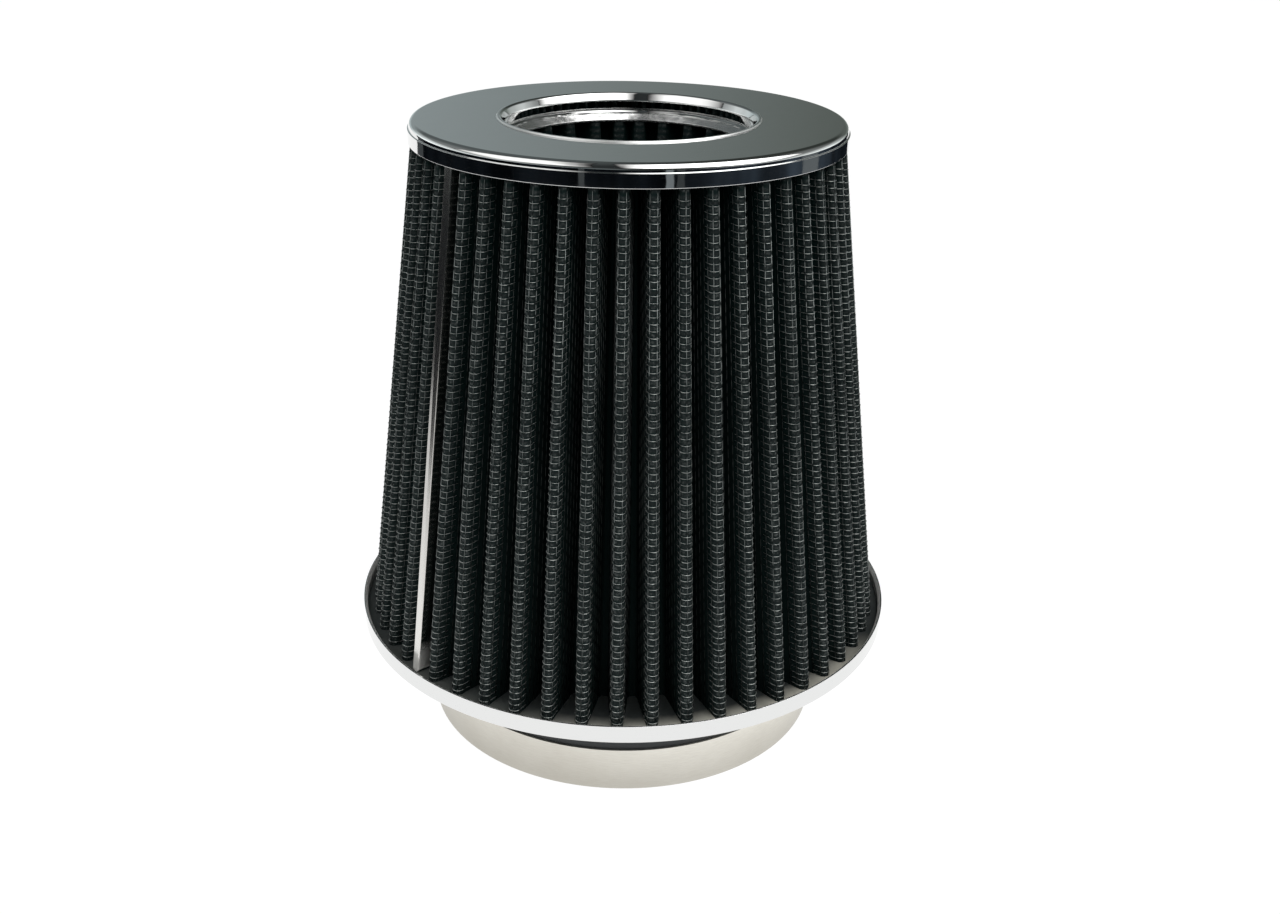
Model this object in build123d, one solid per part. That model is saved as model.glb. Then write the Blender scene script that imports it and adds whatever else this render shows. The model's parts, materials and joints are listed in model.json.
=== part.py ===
from build123d import *
import math
import os

# Open-top cone air filter. A tapered ring of pleats stands between a bright base pan and a bright
# cap, an inverted inner cone of pleats hangs behind the hole in the cap, and a rubber neck with a
# worm clamp fits over a pipe.
# Millimetres, +Z up, z = 0 at the open end of the neck. Angles run from the front (-Y) towards +X.

# Overall
overall_height = 171.1
base_diameter = 152.4
cap_diameter = 113.74

# Clearances
sheet_fit = 0.1
potting_fit = 0.15
skirt_fit = 0.37
cone_gap = 2.0

# Rubber neck
neck_bore = 101.6
neck_wall = 5.1
neck_length = 29.8
neck_end_chamfer = 1.0
neck_stop_height = 14.6
neck_stop_rise = 12.4
neck_flange_width = 4.0
neck_flange_thickness = 1.2
neck_groove_depth = 3.5
neck_stop_overhang = 1.0

# Base pan
pan_sheet = 1.0
pan_chamfer = 0.3
rim_height = 4.95
base_potting_cover = 1.0
base_potting_ledge = 4.6
rim_gap = 2.1

# Cap
cap_sheet = 0.5
skirt_height = 5.7
crease_drop = 2.2
crease_step = 0.3
shoulder_bend = 1.6
hole_diameter = 64.6
lip_bend = 1.5
lip_rise = 0.4
lip_width = 1.7
lip_edge = 0.3
tube_depth = 3.9
top_potting_depth = 3.7

# Inner collar
collar_sheet = 0.6
collar_grip = 1.7
collar_depth = 7.3
collar_mouth = 60.4
collar_lip = 0.6

# Outer pleats
media_sheet = 0.9
crease_turn = 35.0
pleat_count = 50
pleat_depth = 15.5
crest_fold_foot = 1.5
crest_fold_head = 1.2
root_fold_foot = 2.16
root_fold_head = 1.25
seam_angle = -49.15
seam_pitch_share = 0.75
seam_gap = 0.1

# Seam clip
clip_sheet = 0.45
clip_leg = 6.0
clip_rise = 0.05
clip_fit = 0.05
clip_edge = 0.4

# Inner cone
inner_pleat_count = 25
inner_cone_length = 83.4
inner_foot_diameter = 56.0
inner_crest_fold_foot = 1.2
inner_crest_fold_head = 2.4
inner_root_fold_foot = 1.07
inner_root_fold_head = 1.5
inner_seam_angle = 180.0
end_cap_floor = 6.0
end_cap_wall = 1.6
end_cap_wall_rise = 4.0
end_cap_dish = 2.0

# Clamp band
band_width = 12.4
band_lift = 0.8
band_sheet = 0.65
lap_half_angle = 13.0
ramp_angle = 14.0
ramp_gap_angle = 2.0
tail_angle = 33.0
tail_corner = 3.0
slot_count = 11
slot_pitch_angle = 3.1
slot_first_angle = -5.0
slot_width = 1.5
slot_length = 8.5
slot_slant = 7.0

# Clamp housing
clamp_angle = 180.0
saddle_sheet = 0.6
housing_wall = 0.6
housing_crown = 0.9
housing_length = 19.0
housing_end_wall = 1.6

# Clamp screw
worm_diameter = 8.0
worm_clearance = 0.3
worm_end_play = 0.3
journal_diameter = 6.0
tip_diameter = 4.4
tip_reach = 0.4
bearing_fit = 0.06
flange_diameter = 9.0
flange_thickness = 1.0
head_across_flats = 8.0
head_height = 5.5
head_slot_width = 1.3
head_slot_depth = 1.8


def at(angle, radius, height=0.0):
    """Point at an angle from the front, a distance from the axis and a height."""
    turn = math.radians(angle)
    return Vector(radius * math.sin(turn), -radius * math.cos(turn), height)


def between(height, foot, head, foot_value, head_value):
    """Value at a height on a straight taper."""
    share = (height - foot) / (head - foot)
    return foot_value + share * (head_value - foot_value)


# Heights of the seats, from the neck's end upwards
pan_floor = neck_length + pan_sheet
rim_top = neck_length + rim_height
neck_top = pan_floor + neck_flange_thickness
pleat_foot = neck_top + base_potting_cover
cap_top = overall_height - lip_rise
cap_under = cap_top - cap_sheet
pleat_head = cap_under - top_potting_depth
skirt_foot = cap_top - skirt_height
inner_head = cap_top - collar_depth
inner_foot = inner_head - inner_cone_length

# Radii that pieces share
bore_radius = neck_bore / 2
neck_radius = bore_radius + neck_wall
neck_flange_radius = neck_radius + neck_flange_width
neck_groove_radius = neck_flange_radius - neck_groove_depth
pan_hole_radius = neck_groove_radius + potting_fit
crest_foot_radius = base_diameter / 2 - pan_sheet - rim_gap
crest_head_radius = cap_diameter / 2 - cap_sheet - skirt_fit
outer_root_at_inner_head = (
    between(inner_head, pleat_foot, pleat_head, crest_foot_radius, crest_head_radius) - pleat_depth
)
inner_head_radius = outer_root_at_inner_head - cone_gap
inner_pleat_depth = inner_head_radius - collar_mouth / 2
inner_foot_radius = inner_foot_diameter / 2
tube_inner = hole_diameter / 2
tube_outer = tube_inner + cap_sheet
lip_inside = lip_bend - cap_sheet
shoulder_inside = shoulder_bend - cap_sheet
collar_inner = tube_outer + sheet_fit
collar_outer = collar_inner + collar_sheet
band_inner = neck_radius + sheet_fit
band_outer = band_inner + band_sheet
tail_inner = band_outer + 2 * sheet_fit + saddle_sheet
tail_outer = tail_inner + band_sheet
band_middle = band_lift + band_width / 2
worm_axis_radius = tail_outer + worm_clearance + worm_diameter / 2


def turned(*profile):
    """Solid of revolution from a closed outline of (radius, height) points."""
    outline = Polyline(*[(radius, 0, height) for radius, height in profile], close=True)
    return revolve(make_face(outline), axis=Axis.Z)


def rounded(profile, bends):
    """Solid of revolution from a closed outline of (radius, height) points with rounded corners."""
    points = [(radius, 0, height) for radius, height in profile]
    outline = FilletPolyline(*points, radius=bends, close=True)
    return revolve(make_face(outline), axis=Axis.Z)


class Fold:
    """One fold of a pleated sheet: a crest that turns outwards or a root that turns inwards."""

    def __init__(self, angle, middle_radius, is_crest, bends):
        self.middle = at(angle, middle_radius)
        self.is_crest = is_crest
        self.tip = at(angle, 1.0 if is_crest else -1.0)
        self.bends = bends

    def on_bend(self, face, turn=0.0):
        """Point on the fold's bend, turned from its tip, on the sheet's outer (0) or inner (1) face."""
        return self.middle + self.tip.rotate(Axis.Z, turn) * self.bends[face]


def flank_normal(crest, root, side):
    """Unit normal of the straight flank from a crest to the root on one side of it."""
    run = root.middle - crest.middle
    lean = math.acos((crest.bends[0] + root.bends[0]) / run.length)
    return run.normalized().rotate(Axis.Z, -side * math.degrees(lean))


def flank_ends(first, second, face):
    """Where the flank between two neighbouring folds starts and ends on one face of the sheet."""
    if first.is_crest:
        normal = flank_normal(first, second, 1)
    else:
        normal = flank_normal(second, first, -1) * -1
    start = first.middle + normal * first.bends[face]
    end = second.middle - normal * second.bends[face]
    return start, end


def pleat_folds(count, seam, crest_radius, depth, crest_bend, root_bend, tip_radius):
    """Folds of a pleated ring in order, from one end of the sheet at the seam to the other."""
    pitch = 360.0 / (count - 1 + 2 * seam_pitch_share)
    crest_angles = [seam + (seam_pitch_share + step) * pitch for step in range(count)]
    stops = [seam] + crest_angles + [seam + 360.0]
    root_angles = [(a + b) / 2 for a, b in zip(stops, stops[1:])]
    end_bends = (media_sheet + seam_gap / 2, seam_gap / 2)
    crest_bends = (crest_bend, crest_bend - media_sheet)
    root_bends = (root_bend - media_sheet, root_bend)
    crests = [Fold(angle, crest_radius - crest_bend, True, crest_bends) for angle in crest_angles]
    roots = [Fold(angle, crest_radius - depth + root_bend, False, root_bends) for angle in root_angles]
    folds = [Fold(seam, tip_radius, True, end_bends), roots[0]]
    for crest, root in zip(crests, roots[1:]):
        folds += [crest, root]
    return folds + [Fold(seam + 360.0, tip_radius, True, end_bends)]


def bend_edges(fold, face, start, end, is_round):
    """A fold's bend on one face of the sheet: an arc where it shows, three creased facets elsewhere."""
    if is_round:
        return [Edge.make_three_point_arc(start, fold.on_bend(face), end)]
    turn = crease_turn if fold.is_crest else -crease_turn
    points = [start, fold.on_bend(face, -turn), fold.on_bend(face, turn), end]
    return [Edge.make_line(a, b) for a, b in zip(points, points[1:])]


def sheet_face_edges(folds, face, shows_crests):
    """Edges along one face of the folded sheet, with the points where they start and end."""
    flanks = [flank_ends(first, second, face) for first, second in zip(folds, folds[1:])]
    edges = [Edge.make_line(*flanks[0])]
    for fold, before, after in zip(folds[1:], flanks, flanks[1:]):
        is_round = fold.is_crest == shows_crests and face == (0 if shows_crests else 1)
        edges += bend_edges(fold, face, before[1], after[0], is_round)
        edges.append(Edge.make_line(*after))
    return edges, flanks[0][0], flanks[-1][1]


def pleat_section(folds, height, shows_crests):
    """Closed outline of the folded sheet at one height, with arcs on the crests or roots that show."""
    outer, outer_start, outer_end = sheet_face_edges(folds, 0, shows_crests)
    inner, inner_start, inner_end = sheet_face_edges(folds, 1, shows_crests)
    ends = [Edge.make_line(outer_end, inner_end), Edge.make_line(inner_start, outer_start)]
    return Pos(0, 0, height) * Wire(outer + inner + ends)


def outer_folds(crest_radius, crest_bend, root_bend):
    """Folds of the outer cone at one height."""
    tip_radius = crest_radius + clip_rise - clip_sheet - clip_fit
    return pleat_folds(
        pleat_count, seam_angle, crest_radius, pleat_depth, crest_bend, root_bend, tip_radius
    )


outer_foot_folds = outer_folds(crest_foot_radius, crest_fold_foot, root_fold_foot)
outer_head_folds = outer_folds(crest_head_radius, crest_fold_head, root_fold_head)


def make_outer_pleats():
    """Filter sheet of the outer cone, its two ends turned outwards side by side at the seam."""
    foot = pleat_section(outer_foot_folds, pleat_foot, True)
    head = pleat_section(outer_head_folds, pleat_head, True)
    return Solid.make_loft([foot, head], ruled=True)


def clip_section(folds, height):
    """Outline of the seam clip: a channel whose legs lie along the two ends of the sheet."""
    tip = folds[0]
    sides = [
        (flank_normal(folds[0], folds[1], 1), flank_ends(folds[0], folds[1], 0)),
        (flank_normal(folds[-1], folds[-2], -1), flank_ends(folds[-1], folds[-2], 0)),
    ]
    inside = tip.bends[0] + clip_fit
    outside = inside + clip_sheet
    legs = []
    for normal, (start, end) in sides:
        along = (end - start).normalized()
        legs.append(
            [
                tip.middle + normal * outside - along * (clip_fit + clip_sheet),
                tip.middle + normal * outside + along * clip_leg,
                tip.middle + normal * inside + along * clip_leg,
                tip.middle + normal * inside - along * clip_fit,
            ]
        )
    corners = legs[0] + legs[1][::-1]
    bends = [clip_edge, 0, 0, 0, 0, 0, 0, clip_edge]
    return Pos(0, 0, height) * FilletPolyline(*corners, radius=bends, close=True).wire()


def make_seam_clip():
    """Folded strip that grips the sheet's two ends along the whole seam, with a round tip at its foot."""
    foot = clip_section(outer_foot_folds, pleat_foot)
    head = clip_section(outer_head_folds, pleat_head)
    strip = Solid.make_loft([foot, head], ruled=True)
    tip = media_sheet + seam_gap / 2 + clip_fit + clip_sheet
    length = pleat_head - pleat_foot - tip
    tongue = Circle(tip) + Pos(0, length / 2) * Rectangle(2 * (tip + clip_leg), length)
    axis_foot = at(seam_angle, 0, pleat_foot + tip)
    front = Plane(axis_foot, z_dir=at(seam_angle, 1), x_dir=at(seam_angle + 90, 1))
    return strip & extrude(front * tongue, base_diameter / 2)


def inner_folds(crest_radius, crest_bend, root_bend):
    """Folds of the inner cone at one height."""
    return pleat_folds(
        inner_pleat_count,
        inner_seam_angle,
        crest_radius,
        inner_pleat_depth,
        crest_bend,
        root_bend,
        crest_radius - crest_bend,
    )


def make_inner_pleats():
    """Filter sheet of the inverted inner cone. Its roots face the hole in the cap."""
    foot_folds = inner_folds(inner_foot_radius, inner_crest_fold_foot, inner_root_fold_foot)
    head_folds = inner_folds(inner_head_radius, inner_crest_fold_head, inner_root_fold_head)
    foot = pleat_section(foot_folds, inner_foot, False)
    head = pleat_section(head_folds, inner_head, False)
    return Solid.make_loft([foot, head], ruled=True)


def make_inner_end_cap():
    """Moulded cap on the foot of the inner cone, with a wall around the pleats and a dished middle."""
    wall_top = inner_foot + end_cap_wall_rise
    crest = between(wall_top, inner_foot, inner_head, inner_foot_radius, inner_head_radius)
    wall_inner = crest + potting_fit
    wall_outer = wall_inner + end_cap_wall
    dish_radius = inner_foot_radius - inner_pleat_depth - end_cap_dish
    floor = inner_foot - end_cap_floor
    return turned(
        (0, floor),
        (wall_outer - end_cap_wall, floor),
        (wall_outer, floor + end_cap_wall),
        (wall_outer, wall_top),
        (wall_inner, wall_top),
        (wall_inner, inner_foot),
        (dish_radius, inner_foot),
        (dish_radius - end_cap_dish, inner_foot - end_cap_dish),
        (0, inner_foot - end_cap_dish),
    )


def make_top_cap():
    """Pressed cap: skirt, stepped shoulder, flat top and a raised lip that rolls down into a tube."""
    skirt = cap_diameter / 2
    upper = skirt - crease_step
    lip_crown = tube_inner + lip_width
    crease = cap_top - crease_drop
    tube_foot = cap_top - tube_depth
    outside = [
        (skirt, skirt_foot),
        (skirt, crease),
        (upper, crease + crease_step),
        (upper, cap_top),
        (lip_crown + lip_rise, cap_top),
        (lip_crown, overall_height),
        (tube_inner, overall_height),
        (tube_inner, tube_foot),
    ]
    inside = [
        (tube_outer, tube_foot),
        (tube_outer, cap_under - lip_inside),
        (tube_outer + lip_inside, cap_under),
        (upper - cap_sheet - shoulder_inside, cap_under),
        (upper - cap_sheet, cap_under - shoulder_inside),
        (upper - cap_sheet, crease),
        (skirt - cap_sheet, crease - crease_step),
        (skirt - cap_sheet, skirt_foot),
    ]
    bends = [0, 0, 0, shoulder_bend, lip_edge, lip_edge, lip_bend, 0] + [0] * len(inside)
    return rounded(outside + inside, bends)


def make_inner_collar():
    """Funnel that grips the outside of the cap's tube and leads in to the inner cone."""
    grip_foot = cap_top - tube_depth - sheet_fit
    grip_head = grip_foot + collar_grip
    foot = inner_head + sheet_fit
    mouth = collar_mouth / 2
    return turned(
        (collar_inner, grip_head),
        (collar_inner, grip_foot),
        (mouth, foot + collar_lip),
        (mouth, foot),
        (mouth + collar_sheet, foot),
        (mouth + collar_sheet, foot + collar_lip),
        (collar_outer, grip_foot - collar_sheet),
        (collar_outer, grip_head),
    )


def make_top_potting():
    """Compound in the cap. Both cones of pleats end against it."""
    inner = collar_outer + potting_fit
    outer = cap_diameter / 2 - crease_step - cap_sheet - potting_fit
    step = outer_root_at_inner_head - cone_gap / 2
    lip_room = lip_inside + potting_fit
    shoulder_room = shoulder_inside + potting_fit
    return turned(
        (inner, inner_head),
        (step, inner_head),
        (step, pleat_head),
        (outer, pleat_head),
        (outer, cap_under - shoulder_room),
        (outer - shoulder_room, cap_under),
        (inner + lip_room, cap_under),
        (inner, cap_under - lip_room),
    )


def make_base_pan():
    """Pressed tray: upright rim and a flat floor with a hole for the neck."""
    rim = base_diameter / 2
    return turned(
        (pan_hole_radius, neck_length),
        (rim - pan_chamfer, neck_length),
        (rim, neck_length + pan_chamfer),
        (rim, rim_top),
        (rim - pan_sheet, rim_top),
        (rim - pan_sheet, pan_floor),
        (pan_hole_radius, pan_floor),
    )


def make_rubber_neck():
    """Moulded neck: bore, clamp seat, flared stop and a groove that holds the pan's floor."""
    stop_radius = neck_flange_radius + neck_stop_overhang
    return turned(
        (bore_radius, 0),
        (neck_radius - neck_end_chamfer, 0),
        (neck_radius, neck_end_chamfer),
        (neck_radius, neck_stop_height),
        (stop_radius, neck_stop_height + neck_stop_rise),
        (stop_radius, neck_length),
        (neck_groove_radius, neck_length),
        (neck_groove_radius, pan_floor),
        (neck_flange_radius, pan_floor),
        (neck_flange_radius, neck_top),
        (bore_radius, neck_top),
    )


def make_base_potting():
    """Compound in the pan, over the neck's flange. The outer pleats stand on it."""
    flange = neck_flange_radius + potting_fit
    outer = base_diameter / 2 - pan_sheet - potting_fit
    inner = crest_foot_radius - pleat_depth - base_potting_ledge
    return turned(
        (flange, pan_floor),
        (outer, pan_floor),
        (outer, pleat_foot),
        (inner, pleat_foot),
        (inner, neck_top),
        (flange, neck_top),
    )


def arc_about_axis(start, end, radius):
    """Arc about the filter's axis between two angles."""
    return Edge.make_three_point_arc(
        at(start, radius), at((start + end) / 2, radius), at(end, radius)
    )


def ramp_edge(start, end, low, high):
    """Gentle rise from one radius to another."""
    return Edge.make_three_point_arc(
        at(start, low), at((start + end) / 2, (low + high) / 2), at(end, high)
    )


def make_clamp_band():
    """Steel strip: once round the neck, up a ramp, over its own end and out as a slotted tail."""
    start = clamp_angle - lap_half_angle
    front = clamp_angle + 180.0
    ramp_end = start + 360.0 - ramp_gap_angle
    ramp_start = ramp_end - ramp_angle
    tail_end = clamp_angle + 360.0 + tail_angle
    edges = [
        arc_about_axis(start, front, band_outer),
        arc_about_axis(front, ramp_start, band_outer),
        ramp_edge(ramp_start, ramp_end, band_outer, tail_outer),
        arc_about_axis(ramp_end, tail_end, tail_outer),
        Edge.make_line(at(tail_end, tail_outer), at(tail_end, tail_inner)),
        arc_about_axis(tail_end, ramp_end, tail_inner),
        ramp_edge(ramp_end, ramp_start, tail_inner, band_inner),
        arc_about_axis(ramp_start, front, band_inner),
        arc_about_axis(front, start, band_inner),
        Edge.make_line(at(start, band_inner), at(start, band_outer)),
    ]
    strip = Pos(0, 0, band_lift) * extrude(make_face(edges), band_width, dir=(0, 0, 1))
    tail_middle = (tail_inner + tail_outer) / 2
    ends = [at(tail_end, tail_middle, height) for height in (band_lift, band_lift + band_width)]
    corners = [strip.edges().sort_by_distance(end)[0] for end in ends]
    strip = fillet(corners, tail_corner)
    depth = band_sheet + 2 * sheet_fit
    for step in range(slot_count):
        angle = clamp_angle + slot_first_angle + step * slot_pitch_angle
        place = Rot(0, 0, angle) * Pos(0, -tail_middle, band_middle)
        strip -= place * Rot(0, slot_slant, 0) * Box(slot_width, depth, slot_length)
    return strip


def along_tangent(shape):
    """Carry a shape drawn about the X axis to the clamp's place, across the back of the neck."""
    return Rot(0, 0, clamp_angle - 180.0) * Pos(0, worm_axis_radius, band_middle) * shape


def rod(diameter, start, end):
    """Round bar along X between two stations."""
    bar = Cylinder(diameter / 2, end - start, align=(Align.CENTER, Align.CENTER, Align.MIN))
    return Pos(start, 0, 0) * Rot(0, 90, 0) * bar


def make_clamp_housing():
    """Housing on the band: a saddle under the tail, side walls and an arch over the worm."""
    crown = worm_diameter / 2 + worm_clearance + housing_crown
    half_width = band_width / 2 + sheet_fit + housing_wall
    foot_height = tail_outer - band_inner
    foot_middle = (tail_outer + band_inner) / 2 - worm_axis_radius
    foot = Pos(foot_middle, 0) * Rectangle(foot_height, 2 * half_width)
    section = make_hull([*Circle(crown).edges(), *foot.edges()])
    arch = extrude(Plane.YZ * section, housing_length / 2, both=True)
    cavity = housing_length / 2 - housing_end_wall
    arch -= rod(worm_diameter + 2 * worm_clearance, -cavity, cavity)
    arch -= rod(journal_diameter + 2 * bearing_fit, -housing_length, 0)
    arch -= rod(tip_diameter + 2 * bearing_fit, 0, housing_length)
    housing = along_tangent(arch)
    tunnel = band_width + 2 * sheet_fit
    seat = Cylinder(band_outer + sheet_fit, 2 * overall_height)
    layer = Cylinder(tail_outer + sheet_fit, tunnel) - Cylinder(tail_inner - sheet_fit, tunnel)
    return housing - seat - Pos(0, 0, band_middle) * layer


def make_clamp_screw():
    """Worm screw: tip journal, worm, neck journal, flange and a slotted hex head towards -X."""
    wall = housing_length / 2
    worm_end = wall - housing_end_wall - worm_end_play
    flange_seat = -wall - worm_end_play
    flange_end = flange_seat - flange_thickness
    head_end = flange_end - head_height
    hexagon = extrude(
        Plane.YZ * RegularPolygon(head_across_flats / 2, 6, major_radius=False), head_height
    )
    screw = rod(worm_diameter, -worm_end, worm_end)
    screw += rod(tip_diameter, worm_end, wall + tip_reach)
    screw += rod(journal_diameter, flange_seat, -worm_end)
    screw += rod(flange_diameter, flange_end, flange_seat)
    screw += Pos(head_end, 0, 0) * hexagon
    slot = Box(2 * head_slot_depth, head_slot_width, 2 * head_across_flats)
    return along_tangent(screw - Pos(head_end, 0, 0) * slot)


os.makedirs("parts", exist_ok=True)
pieces = {
    "top_cap": make_top_cap(),
    "inner_collar": make_inner_collar(),
    "top_potting": make_top_potting(),
    "outer_pleats": make_outer_pleats(),
    "seam_clip": make_seam_clip(),
    "inner_pleats": make_inner_pleats(),
    "inner_end_cap": make_inner_end_cap(),
    "base_pan": make_base_pan(),
    "base_potting": make_base_potting(),
    "rubber_neck": make_rubber_neck(),
    "clamp_band": make_clamp_band(),
    "clamp_housing": make_clamp_housing(),
    "clamp_screw": make_clamp_screw(),
}
for name, piece in pieces.items():
    export_step(piece, f"parts/{name}.step")
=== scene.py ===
"""Looks of an open-top cone air filter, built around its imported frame. Metres, +Z up."""

import json
import math

import bmesh
import bpy
from mathutils import Matrix, Vector

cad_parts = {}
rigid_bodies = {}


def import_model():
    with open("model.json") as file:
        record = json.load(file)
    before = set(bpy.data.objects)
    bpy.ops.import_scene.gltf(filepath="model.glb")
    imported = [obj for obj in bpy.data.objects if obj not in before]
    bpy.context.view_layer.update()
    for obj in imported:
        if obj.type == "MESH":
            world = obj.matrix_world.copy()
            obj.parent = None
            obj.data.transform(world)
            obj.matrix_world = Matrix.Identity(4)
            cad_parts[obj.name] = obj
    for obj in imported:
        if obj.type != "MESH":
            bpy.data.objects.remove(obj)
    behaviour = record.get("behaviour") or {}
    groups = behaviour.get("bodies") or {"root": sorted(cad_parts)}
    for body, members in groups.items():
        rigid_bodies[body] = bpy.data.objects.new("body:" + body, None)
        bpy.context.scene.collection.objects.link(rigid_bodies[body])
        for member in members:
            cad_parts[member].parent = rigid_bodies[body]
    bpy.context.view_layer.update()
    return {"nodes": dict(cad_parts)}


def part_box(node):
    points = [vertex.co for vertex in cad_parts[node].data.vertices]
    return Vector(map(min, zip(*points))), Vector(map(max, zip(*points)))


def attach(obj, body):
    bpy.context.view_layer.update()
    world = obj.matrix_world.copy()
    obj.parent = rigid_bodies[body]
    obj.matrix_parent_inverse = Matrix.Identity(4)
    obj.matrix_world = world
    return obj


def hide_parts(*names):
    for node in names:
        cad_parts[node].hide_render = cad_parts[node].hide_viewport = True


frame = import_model()
scene = bpy.context.scene
MM = 0.001
WHITE = (1, 1, 1, 1)

# Heights and radii taken from the frame
cap_low, cap_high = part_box("top_cap")
collar_low, collar_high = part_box("inner_collar")
pan_low, pan_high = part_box("base_pan")
pleats_low, pleats_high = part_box("outer_pleats")
inner_low, inner_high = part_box("inner_pleats")
skirt_foot = cap_low.z
lip_top = cap_high.z
cap_radius = cap_high.x
pan_bottom = pan_low.z
rim_top = pan_high.z
rim_radius = pan_high.x
pleat_foot = pleats_low.z
pleat_head = pleats_high.z

# Pressed cap, collar and pan
cap_sheet = 0.5 * MM
cap_end = 0.4 * cap_sheet
crease_drop = 2.2 * MM
crease_step = 0.3 * MM
crease_edge = 0.1 * MM
crease_rise = 0.1 * MM
shoulder_bend = 1.6 * MM
hole_radius = 32.3 * MM
lip_bend = 1.5 * MM
lip_rise = 0.4 * MM
lip_width = 1.7 * MM
lip_edge = 0.15 * MM
lip_run = 0.22 * MM
lip_throat = 2.1 * MM
lip_shoulder = 0.8 * MM
tube_depth = 3.9 * MM
sheet_gap = 0.1 * MM
sheet_edge = 0.12 * MM
pressed_edge = 0.2 * MM
collar_sheet = 0.6 * MM
collar_mouth = 30.2 * MM
collar_lip = 0.6 * MM
pan_sheet = 1.0 * MM
pan_chamfer = 0.3 * MM
pan_edge = 0.4 * MM
pan_hole_radius = 56.55 * MM
rim_edge = 0.4 * MM
rim_slope = 0.9 * MM
rim_bend = sheet_edge / 2
rolled_steps = 192
bend_step = math.radians(12)
bend_steps_least = 3
cap_top = lip_top - lip_rise

# Pleats
pleat_count = 50
seam_angle = math.radians(-49.15)
seam_pitch_share = 0.75
pleat_pitch = 2 * math.pi / (pleat_count - 1 + 2 * seam_pitch_share)
crest_foot_radius = 73.1 * MM
crest_head_radius = 56.0 * MM
crest_fold_foot = 1.5 * MM
crest_fold_head = 1.2 * MM
crest_fold_mean = (crest_fold_foot + crest_fold_head) / 2
flank_slope = 0.081
inner_foot_radius = 28.0 * MM

# Level of the base pour, a little lower than in the frame
pour_drop = 0.9 * MM
pour_level = pleat_foot - pour_drop
strip_tip = 2.0 * MM
level_slack = 0.01 * MM
merge_distance = 0.001 * MM
sharp_angle = math.radians(30)

# Woven screen: three-sided wires, in rows over and under the uprights
wire_radius = 0.092 * MM
wire_back = 0.5
wire_half = 0.87
row_pitch = 1.63 * MM
row_lift = 0.115 * MM
row_reach = 4.2 * MM
row_steps = 14
row_kinds = 2.0
weave_swing = 0.055 * MM
# Painted light on the row wires: how fast it falls off towards each upright, and its share where a row
# comes over one
painted_light_power = 1.5
painted_light_over = 0.6
upright_pitch = 1.95 * MM
upright_lift = 0.11 * MM
upright_reach = 13.0 * MM
screen_foot_gap = 0.4 * MM
screen_head_gap = 0.1 * MM
screen_foot = pour_level + screen_foot_gap
screen_head = skirt_foot - screen_head_gap
screen_phases = (0.0, 0.34, 0.67)
phase_margin = 0.001
screen_seed = 7
first_row = screen_foot + 0.5 * row_pitch

# Camera, fitted to the photo's 1280 by 914 frame
camera_distance = 360.9 * MM
camera_height = 237.2 * MM
camera_pitch = math.radians(24.327)
camera_roll = math.radians(0.983)
camera_yaw = math.radians(0.678)
camera_lens = 38.79
camera_sensor = 36.0
camera_near = 0.01

# Stage
floor_half = 6.0
floor_glow = 1.0
backdrop_radius = 5.8
backdrop_foot = -0.1
backdrop_height = 4.0
wall_steps = 64
panel_top = 1.1
panel_foot = 0.56
panel_reach = 1.0
panel_flare = 1.2
panel_sweep = 0.6
panel_fade = 0.1
panel_bright_share = 0.4
panel_light = 1.7
panel_spread = 1.3
left_glow = 1.3
left_top, left_foot, left_reach = -0.13, -0.3, -2.6
right_glow = 3.2
right_top, right_foot, right_reach = -0.07, -0.06, 2.4
table_reach = 0.4
table_drop = 0.16
table_left = math.radians(-130)
table_right = math.radians(147)
room_dark = 0.006
room_pale = 0.05
patch_reach = 0.98 * table_reach
patch_steps = 6


class Graph:
    """Adds nodes to a node tree and joins their sockets."""

    def __init__(self, tree):
        self.tree = tree

    def add(self, kind, inputs=None, **settings):
        """New node with its settings and inputs filled in."""
        node = self.tree.nodes.new(kind)
        for name, value in settings.items():
            setattr(node, name, value)
        for key, value in (inputs or {}).items():
            self.feed(node.inputs[key], value)
        return node

    def feed(self, socket, value):
        """Give a socket a plain value or the output of another node."""
        if isinstance(value, bpy.types.NodeSocket):
            self.tree.links.new(value, socket)
        else:
            socket.default_value = value

    def math(self, operation, *values):
        """Result of a math node."""
        node = self.add("ShaderNodeMath", dict(enumerate(values)), operation=operation)
        return node.outputs[0]

    def apart(self, first, second):
        """How far two values lie apart."""
        return self.math("ABSOLUTE", self.math("SUBTRACT", first, second))

    def noise(self, vector, scale, detail=2.0, roughness=0.5):
        """Grey noise over a vector."""
        inputs = {"Vector": vector, "Scale": scale, "Detail": detail, "Roughness": roughness}
        return self.add("ShaderNodeTexNoise", inputs).outputs[0]

    def spread(self, value, low, high, to_low=0.0, to_high=1.0):
        """Map a value from one range to another, clamped."""
        inputs = {0: value, 1: low, 2: high, 3: to_low, 4: to_high}
        return self.add("ShaderNodeMapRange", inputs).outputs[0]

    def blend(self, share, first, second):
        """Mix of two colours."""
        node = self.add("ShaderNodeMix", data_type="RGBA")
        self.feed(node.inputs[0], share)
        self.feed(node.inputs[6], first)
        self.feed(node.inputs[7], second)
        return node.outputs[2]

    def bump(self, height, strength, distance):
        """Normal bent by a height."""
        inputs = {"Height": height, "Strength": strength, "Distance": distance}
        return self.add("ShaderNodeBump", inputs).outputs[0]

    def parts(self, vector):
        """The three parts of a vector."""
        return self.add("ShaderNodeSeparateXYZ", {0: vector}).outputs


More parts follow.
